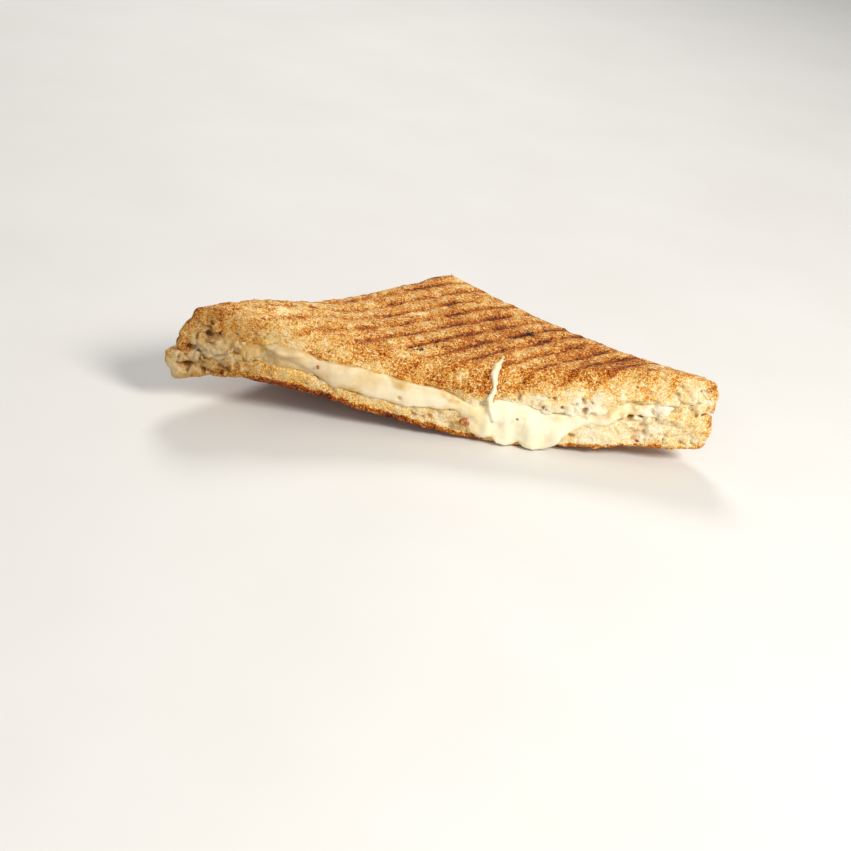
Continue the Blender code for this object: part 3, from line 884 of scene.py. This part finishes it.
def bread_material():
    """Crumb to burnt toast, by the browning stored on the mesh, with specks finer than the mesh, and painted shade
    in the pores and on the torn left end.
    """
    s = Shading("toasted_bread")
    grain, speck, blotch = s.noise(0.45, 3, 0.75), s.noise(0.9, 2, 0.6), s.noise(3.0, 3, 0.6)
    brown = s.attribute("brown")
    uneven = s.math("MULTIPLY", s.math("SUBTRACT", grain, 0.5), 1.6)
    uneven = s.math("MULTIPLY_ADD", s.math("SUBTRACT", speck, 0.5), 1.0, uneven)
    uneven = s.math("MULTIPLY_ADD", s.math("SUBTRACT", blotch, 0.5), 0.25, uneven)
    strength = s.spread(brown, 0.05, 0.4, 0.22, 1.0)
    colour = s.colours(s.math("MULTIPLY_ADD", uneven, strength, brown, clamp=True), BROWNING)
    soaked = s.math("MULTIPLY", s.attribute("stain"), s.spread(speck, 0.3, 0.7, 0.5, 1.0))
    # the pore tint paints shade into deep pores, and the last tint paints shade on the torn left end
    for share, tint in ((soaked, STAIN), (s.attribute("pore"), PORE_SHADE_TINT), (s.attribute("painted_shade"), SHADE_TINT)):
        colour = s.mix(share, colour, s.mix(1.0, colour, srgb(*tint), "MULTIPLY"))
    s.shade(
        Base_Color=colour,
        Roughness=s.spread(grain, 0.3, 0.7, 0.55, 0.85),
        Specular_IOR_Level=0.2,
        Subsurface_Weight=0.12,
        Subsurface_Radius=(1.0, 0.55, 0.25),
        Subsurface_Scale=1.5 * MM,
        Normal=s.bump(grain, 0.4, 0.9, s.bump(speck, 0.5, 0.6)),
    )
    return s.material


def cheese_material():
    """Soft melted cheese that light passes into, tanned where it soaked into the crumb, with painted shade in its
    holes, on its torn left end and below its melted edge.
    """
    s = Shading("melted_cheese")
    cloud, ripple, speck = s.noise(7.0, 3, 0.55), s.noise(1.6, 3, 0.6), s.noise(0.7, 3, 0.6)
    colour = s.colours(cloud, CHEESE_TONES)
    colour = s.mix(s.attribute("pale"), colour, srgb(*PALE_CHEESE))
    # soaked colour, also painted shade below the melted edge
    soaked = s.math("MULTIPLY", s.attribute("soaked"), s.spread(ripple, 0.35, 0.65, 0.4, 1.0))
    colour = s.mix(soaked, colour, srgb(*SOAKED_AND_SHADED_CHEESE))
    toasted = s.math("MULTIPLY", s.attribute("toasted"), s.spread(speck, 0.4, 0.6, 0.3, 1.0))
    colour = s.mix(toasted, colour, srgb(*TOASTED_CHEESE))
    # painted shade in the cheese's holes, by depth
    colour = s.mix(s.attribute("pore"), colour, srgb(*HOLE_SHADE_CHEESE))
    # painted shade on the cheese's torn left end
    colour = s.mix(s.attribute("painted_shade"), colour, s.mix(1.0, colour, srgb(*CHEESE_SHADE_TINT), "MULTIPLY"))
    s.shade(
        Base_Color=colour,
        Roughness=s.spread(ripple, 0.3, 0.7, 0.32, 0.55),
        Specular_IOR_Level=0.4,
        Subsurface_Weight=0.35,
        Subsurface_Radius=(1.0, 0.8, 0.45),
        Subsurface_Scale=2.5 * MM,
        Normal=s.bump(speck, 0.15, 0.5, s.bump(ripple, 0.3, 0.5, s.bump(cloud, 0.8, 0.4))),
    )
    return s.material


def crumb_material(name, tones):
    s = Shading(name)
    grain = s.noise(0.4, 2, 0.6)
    s.shade(
        Base_Color=s.colours(s.noise(1.5, 2, 0.6), tones),
        Roughness=s.spread(grain, 0.3, 0.7, 0.45, 0.8),
        Normal=s.bump(grain, 0.3),
    )
    return s.material


def floor_material():
    s = Shading("studio_floor")
    s.shade(Base_Color=s.colours(s.noise(60, 3, 0.5), FLOOR_TONES), Roughness=0.7)
    return s.material


# ---------------------------------------------------------------- the pieces


def bread_marks(points, field, whole, face, cheese, browning, seed):
    depth = points[:, 1] - CUT_Y
    return {
        "brown": browning(points, field, face),
        "stain": stained(points, cheese, field, seed),
        # painted shade into the pores, by depth
        "pore": sunk(points, whole),
        # painted shade on the front faces near the cut, towards the torn left end
        "painted_shade": ramp(points[:, 0], BREAD_SHADE_ALONG) * (1 - smooth((depth - 2) / 4)),
    }


def make_slice(name, node, made, cheese, browning, material, seed):
    """The piece that stands for a slice, from what build_slice gave."""
    field, whole, face = made
    mesh = mesh_of_field(name, field)
    points = points_of(mesh)
    rim = crust_distance(points, TOP_HIGH)
    covered = np.abs(cheese.at(points)) < 1.5
    hidden = (covered | (points[:, 2] < 0.6)) & (points[:, 1] > CUT_Y + 6) & (rim > 3)
    mesh = thin_out(mesh, hidden, MOST_TRIANGLES)
    marks = bread_marks(points_of(mesh), field, whole, face, cheese, browning, seed)
    piece = make_piece(name, mesh, marks, material)
    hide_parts(node)


def make_cheese(cheese, cheese_whole, top, bottom):
    mesh = mesh_of_field("melted_cheese", cheese)
    mesh = thin_out(mesh, points_of(mesh)[:, 1] > CUT_Y + 5, 120000)
    points = points_of(mesh)
    wander = cheese.at(points, cheese.noise(2.4, 94))
    gap = np.minimum(top.at(points), bottom.at(points))
    run = smooth((points[:, 0] - 6) / 4) * smooth((50 - points[:, 0]) / 8)
    # painted shade, with soaked colour, on the cheese below the melted edge, left of the tan end
    under = smooth((ramp(points[:, 0], BAND_LOW) + 0.7 * wander - points[:, 2]) / 2.4 + 0.5)
    under *= smooth((TAN_SHADE_END - points[:, 0]) / 12)
    white = smooth((points[:, 0] - WHITE_FROM) / 6)
    marks = {
        "pale": np.maximum(0.4 * strand_share(points, top), white),
        "soaked": np.maximum(smooth((1.7 + 0.9 * wander - gap) / 2.0) * (1 - 0.7 * run) * (1 - 0.7 * white), 0.8 * under),
        # painted shade on the cheese towards the torn left end
        "painted_shade": ramp(points[:, 0], CHEESE_SHADE_ALONG),
        "toasted": 0.8 * smooth((cheese.at(points, cheese.noise(2.6, 95)) - 1.9) / 0.7),
        "pore": sunk(points, cheese_whole),
    # painted shade in the holes, by depth
    }
    piece = make_piece("melted_cheese", mesh, marks, cheese_material())
    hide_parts("cheese")


def make_crumbs(top):
    """The burnt specks and the grit on the toast, and the loose crumbs on the cut."""
    places = on_face(top, [(x, y, 0) for x, y, _ in BURNT], 2, True, 0.1)
    mesh = lumps("burnt_specks", places, [size for _, _, size in BURNT], 0.7, 96)
    make_piece("burnt_specks", mesh, {}, crumb_material("burnt_crumb", BURNT_TONES))

    mesh = lumps("toast_crumbs", [place for place, _ in CRUMBS], [size for _, size in CRUMBS], 1.0, 97)
    make_piece("toast_crumbs", mesh, {}, crumb_material("toast_crumb", CRUMB_TONES))

    rng = np.random.default_rng([SEED, 98])
    places = rng.uniform((*TOP_LOW[:2], 0), (*TOP_HIGH[:2], 0), (GRIT_COUNT, 3))
    places = places[crust_distance(places, TOP_HIGH) > 2]
    places = on_face(top, places, 2, True, 0.05)
    mesh = lumps("toast_grit", places, rng.uniform(*GRIT_SIZES, len(places)), 0.8, 99)
    make_piece("toast_grit", mesh, {}, crumb_material("toast_grit", GRIT_TONES))


def make_sandwich():
    bread = bread_material()
    made_top = build_slice("bread_top", True, 7.5, LEFT_TUFTS, TOP_CAVITIES, 20)
    top = made_top[0]
    for centre, radius in FRINGE_HOLES:
        carve(top, np.array(centre), (radius, 1.5 * radius, radius), 0.3)
    pit_toast(top, TOP_LOW, TOP_HIGH, True, 1.7, (0.3, 0.6), 50)
    made_bottom = build_slice("bread_bottom", False, 4.0, RIGHT_TUFTS, BOTTOM_CAVITIES, 40)
    cheese, cheese_whole = build_cheese(top)
    make_slice("top_slice", "bread_top", made_top, cheese, top_browning, bread, 90)
    make_slice("bottom_slice", "bread_bottom", made_bottom, cheese, bottom_browning, bread, 91)
    make_cheese(cheese, cheese_whole, top, made_bottom[0])
    make_crumbs(top)


# ---------------------------------------------------------------- studio


def make_floor():
    points = np.array([(-1, -1, 0), (1, -1, 0), (1, 1, 0), (-1, 1, 0)]) * FLOOR_HALF
    mesh = mesh_of("floor", points * MM, np.array([[0, 1, 2, 3]]))
    mesh.materials.append(floor_material())
    floor = bpy.data.objects.new("floor", mesh)
    bpy.context.scene.collection.objects.link(floor)


def make_light(name, place, target, size, power, colour):
    lamp = bpy.data.lights.new(name, "AREA")
    lamp.shape = "DISK"
    lamp.size = size * MM
    lamp.energy = power
    lamp.color = colour
    light = bpy.data.objects.new(name, lamp)
    bpy.context.scene.collection.objects.link(light)
    light.location = Vector(place) * MM
    light.rotation_mode = "QUATERNION"
    light.rotation_quaternion = (Vector(target) - Vector(place)).to_track_quat("-Z", "Y")


def make_world():
    world = bpy.data.worlds.new("studio")
    world.use_nodes = True
    world.node_tree.nodes["Background"].inputs["Color"].default_value = WORLD_COLOUR
    world.node_tree.nodes["Background"].inputs["Strength"].default_value = WORLD_STRENGTH
    bpy.context.scene.world = world


def make_camera():
    azimuth, elevation, roll = (math.radians(a) for a in (CAMERA_AZIMUTH, CAMERA_ELEVATION, CAMERA_ROLL))
    back = Vector((
        math.sin(azimuth) * math.cos(elevation),
        -math.cos(azimuth) * math.cos(elevation),
        math.sin(elevation),
    ))
    camera = bpy.data.objects.new("camera", bpy.data.cameras.new("camera"))
    camera.data.lens = LENS
    camera.data.sensor_width = SENSOR
    camera.data.clip_start, camera.data.clip_end = 0.01, 20
    bpy.context.scene.collection.objects.link(camera)
    camera.location = (Vector(CAMERA_TARGET) + back * CAMERA_DISTANCE) * MM
    camera.rotation_mode = "QUATERNION"
    turn = Matrix.Rotation(roll, 3, "Z").to_quaternion()
    camera.rotation_quaternion = (-back).to_track_quat("-Z", "Y") @ turn
    bpy.context.scene.camera = camera


make_sandwich()
make_floor()
make_world()
for light in LIGHTS:
    make_light(*light)
make_camera()
bpy.context.scene.view_settings.view_transform = "Standard"
